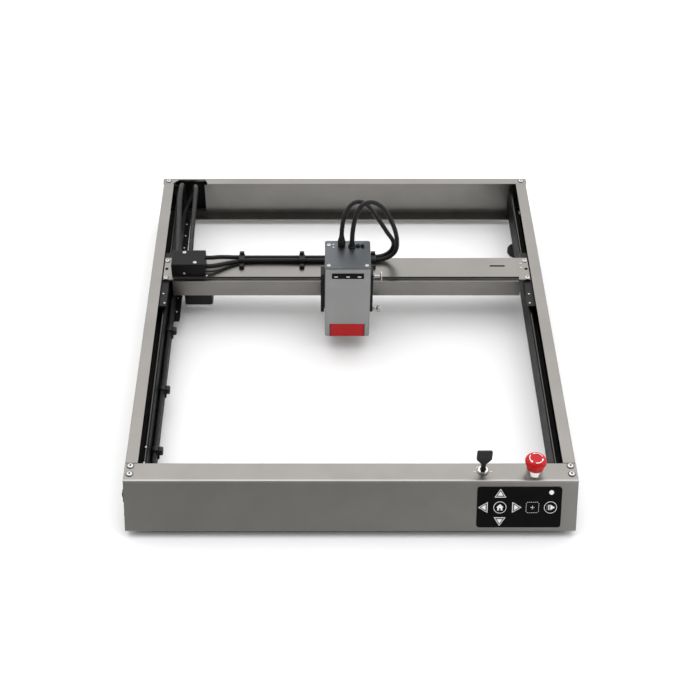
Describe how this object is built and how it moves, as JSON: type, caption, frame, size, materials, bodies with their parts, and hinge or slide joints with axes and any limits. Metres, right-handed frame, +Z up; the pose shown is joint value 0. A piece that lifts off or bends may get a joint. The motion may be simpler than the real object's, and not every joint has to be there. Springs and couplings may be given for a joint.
{
  "type": "desktop laser cutter",
  "caption": "Open-frame desktop laser cutter with a belt-driven gantry, sliding laser module, sloped key panel, key switch and emergency stop.",
  "frame": {"origin": "on the floor under the centre of the outer box", "axes": "+X to the operator's right, +Y to the back, +Z up"},
  "size_m": [0.5806, 0.6722, 0.2146],
  "materials": {
    "grey_metal": "satin anodised warm grey",
    "dark_metal": "satin black",
    "steel": "ground steel",
    "chrome_trim": "bright plated",
    "plain_aluminium": "machined",
    "black_plastic": "fine grain",
    "gloss_black": "gloss film",
    "black_rubber": "matt",
    "cable_sheath": "fine woven sleeve",
    "belt_rubber": "moulded",
    "red_plastic": "gloss",
    "red_acrylic": "tinted shield",
    "module_grey": "bead-blasted anodised",
    "circuit_board": "solder mask",
    "white_print": "printed symbol"
  },
  "bodies": {
    "root": {"front_console": "grey_metal", "console_base": "dark_metal", "side_rail_left": "grey_metal", "side_rail_right": "grey_metal", "rear_beam": "grey_metal", "y_channel_left": "dark_metal", "y_channel_right": "dark_metal", "guide_rod_left": "steel", "guide_rod_right": "steel", "y_belt_left": "belt_rubber", "y_belt_right": "belt_rubber", "y_motor": "dark_metal", "control_panel": "gloss_black", "mainboard": "circuit_board", "key_switch_body": "chrome_trim", "estop_base": "chrome_trim", "dc_inlet": "black_plastic", "foot_front_left": "black_rubber", "foot_front_right": "black_rubber", "foot_rear_left": "black_rubber", "foot_rear_right": "black_rubber", "y_power_cable": "cable_sheath", "y_signal_cable": "cable_sheath"},
    "gantry": {"gantry_beam": "grey_metal", "y_carriage_left": "dark_metal", "y_carriage_right": "dark_metal", "x_motor": "dark_metal", "x_belt": "belt_rubber", "junction_box": "black_plastic", "head_power_cable": "cable_sheath", "head_signal_cable": "cable_sheath"},
    "laser_carriage": {"laser_bracket": "dark_metal"},
    "laser_module": {"module_housing": "module_grey", "module_cover": "module_grey", "laser_window": "red_acrylic", "laser_unit": "plain_aluminium"},
    "cooling_fan": {"fan_rotor": "black_plastic"},
    "height_screw_upper": {"thumb_screw_upper": "steel"},
    "height_screw_lower": {"thumb_screw_lower": "steel"},
    "x_drive": {"x_drive_pulley": "plain_aluminium"},
    "x_idler": {"x_idler_pulley": "plain_aluminium"},
    "y_drive": {"y_drive_shaft": "steel"},
    "y_idler_l": {"y_idler_left": "plain_aluminium"},
    "y_idler_r": {"y_idler_right": "plain_aluminium"},
    "lock_cylinder": {"lock_core": "steel"},
    "switch_key": {"key": "black_plastic"},
    "stop_plunger": {"estop_stem": "black_plastic"},
    "stop_button": {"estop_cap": "red_plastic"},
    "mains_rocker": {"power_rocker": "black_plastic"},
    "roller_left_front": {"y_roller_left_front": "steel"},
    "roller_left_rear": {"y_roller_left_rear": "steel"},
    "roller_right_front": {"y_roller_right_front": "steel"},
    "roller_right_rear": {"y_roller_right_rear": "steel"},
    "key_up_pad": {"key_up": "gloss_black"},
    "key_left_pad": {"key_left": "gloss_black"},
    "key_home_pad": {"key_home": "gloss_black"},
    "key_right_pad": {"key_right": "gloss_black"},
    "key_down_pad": {"key_down": "gloss_black"},
    "key_frame_pad": {"key_frame": "gloss_black"},
    "key_start_pad": {"key_start": "gloss_black"}
  },
  "joints": [
    {"name": "gantry_y", "type": "slide", "parent": "root", "child": "gantry", "axis": [0, 1, 0], "range_m": [-0.275, 0.14], "deforming": ["y_power_cable", "y_signal_cable"]},
    {"name": "carriage_x", "type": "slide", "parent": "gantry", "child": "laser_carriage", "axis": [1, 0, 0], "range_m": [-0.2, 0.2], "deforming": ["head_power_cable", "head_signal_cable"]},
    {"name": "module_height", "type": "slide", "parent": "laser_carriage", "child": "laser_module", "axis": [0, 0, 1], "range_m": [-0.008, 0.012]},
    {"name": "fan_spin", "type": "hinge", "parent": "laser_module", "child": "cooling_fan", "pos_m": [0.0018, 0.04611, 0.1273], "axis": [0, 0, 1], "continuous": true},
    {"name": "upper_screw_turn", "type": "hinge", "parent": "laser_carriage", "child": "height_screw_upper", "pos_m": [0.0418, 0.07011, 0.0927], "axis": [1, 0, 0], "range_deg": [0, 720]},
    {"name": "lower_screw_turn", "type": "hinge", "parent": "laser_carriage", "child": "height_screw_lower", "pos_m": [0.0418, 0.07011, 0.0301], "axis": [1, 0, 0], "range_deg": [0, 720]},
    {"name": "x_drive_spin", "type": "hinge", "parent": "gantry", "child": "x_drive", "pos_m": [-0.2189, 0.11211, 0.0513], "axis": [0, 0, 1], "range_deg": [-1720, 1720]},
    {"name": "x_idler_spin", "type": "hinge", "parent": "gantry", "child": "x_idler", "pos_m": [0.2368, 0.11211, 0.0513], "axis": [0, 0, 1], "range_deg": [-1720, 1720]},
    {"name": "y_drive_spin", "type": "hinge", "parent": "root", "child": "y_drive", "pos_m": [0.0018, -0.29689, 0.0336], "axis": [1, 0, 0], "range_deg": [-1210, 2365]},
    {"name": "y_idler_left_spin", "type": "hinge", "parent": "root", "child": "y_idler_l", "pos_m": [-0.2722, 0.29311, 0.0336], "axis": [1, 0, 0], "range_deg": [-1210, 2365]},
    {"name": "y_idler_right_spin", "type": "hinge", "parent": "root", "child": "y_idler_r", "pos_m": [0.2758, 0.29311, 0.0336], "axis": [1, 0, 0], "range_deg": [-1210, 2365]},
    {"name": "roller_left_front_spin", "type": "hinge", "parent": "gantry", "child": "roller_left_front", "pos_m": [-0.2722, 0.07311, 0.0583], "axis": [0, 0, 1], "range_deg": [-1480, 2900]},
    {"name": "roller_left_rear_spin", "type": "hinge", "parent": "gantry", "child": "roller_left_rear", "pos_m": [-0.2722, 0.13911, 0.0583], "axis": [0, 0, 1], "range_deg": [-1480, 2900]},
    {"name": "roller_right_front_spin", "type": "hinge", "parent": "gantry", "child": "roller_right_front", "pos_m": [0.2758, 0.07311, 0.0583], "axis": [0, 0, 1], "range_deg": [-2900, 1480]},
    {"name": "roller_right_rear_spin", "type": "hinge", "parent": "gantry", "child": "roller_right_rear", "pos_m": [0.2758, 0.13911, 0.0583], "axis": [0, 0, 1], "range_deg": [-2900, 1480]},
    {"name": "key_turn", "type": "hinge", "parent": "root", "child": "lock_cylinder", "pos_m": [0.1702, -0.29069, 0.0733], "axis": [0, 0, -1], "range_deg": [0, 90]},
    {"name": "key_pull", "type": "slide", "parent": "lock_cylinder", "child": "switch_key", "axis": [0, 0, 1], "range_m": [0, 0.03]},
    {"name": "stop_press", "type": "slide", "parent": "root", "child": "stop_plunger", "axis": [0, 0, -1], "range_m": [0, 0.004], "stiffness_N_per_m": 2500, "springref_m": -0.0005},
    {"name": "stop_twist", "type": "hinge", "parent": "stop_plunger", "child": "stop_button", "pos_m": [0.2354, -0.29259, 0.0933], "axis": [0, 0, -1], "range_deg": [0, 30], "stiffness_Nm_per_rad": 0.03},
    {"name": "power_switch", "type": "hinge", "parent": "root", "child": "mains_rocker", "pos_m": [-0.283, -0.30289, 0.0403], "axis": [0, 1, 0], "range_deg": [-5, 5]},
    {"name": "key_up_press", "type": "slide", "parent": "root", "child": "key_up_pad", "axis": [0, 0.9068, -0.4216], "range_m": [0, 0.0005], "stiffness_N_per_m": 2000},
    {"name": "key_left_press", "type": "slide", "parent": "root", "child": "key_left_pad", "axis": [0, 0.9068, -0.4216], "range_m": [0, 0.0005], "stiffness_N_per_m": 2000},
    {"name": "key_home_press", "type": "slide", "parent": "root", "child": "key_home_pad", "axis": [0, 0.9068, -0.4216], "range_m": [0, 0.0005], "stiffness_N_per_m": 2000},
    {"name": "key_right_press", "type": "slide", "parent": "root", "child": "key_right_pad", "axis": [0, 0.9068, -0.4216], "range_m": [0, 0.0005], "stiffness_N_per_m": 2000},
    {"name": "key_down_press", "type": "slide", "parent": "root", "child": "key_down_pad", "axis": [0, 0.9068, -0.4216], "range_m": [0, 0.0005], "stiffness_N_per_m": 2000},
    {"name": "key_frame_press", "type": "slide", "parent": "root", "child": "key_frame_pad", "axis": [0, 0.9068, -0.4216], "range_m": [0, 0.0005], "stiffness_N_per_m": 2000},
    {"name": "key_start_press", "type": "slide", "parent": "root", "child": "key_start_pad", "axis": [0, 0.9068, -0.4216], "range_m": [0, 0.0005], "stiffness_N_per_m": 2000}
  ],
  "couplings": [
    {"joint": "x_drive_spin", "follows": "carriage_x", "rad_per_m": 149.6},
    {"joint": "x_idler_spin", "follows": "carriage_x", "rad_per_m": 149.6},
    {"joint": "y_drive_spin", "follows": "gantry_y", "rad_per_m": -149.6},
    {"joint": "y_idler_left_spin", "follows": "gantry_y", "rad_per_m": -149.6},
    {"joint": "y_idler_right_spin", "follows": "gantry_y", "rad_per_m": -149.6},
    {"joint": "roller_left_front_spin", "follows": "gantry_y", "rad_per_m": -183.5},
    {"joint": "roller_left_rear_spin", "follows": "gantry_y", "rad_per_m": -183.5},
    {"joint": "roller_right_front_spin", "follows": "gantry_y", "rad_per_m": 183.5},
    {"joint": "roller_right_rear_spin", "follows": "gantry_y", "rad_per_m": 183.5}
  ]
}
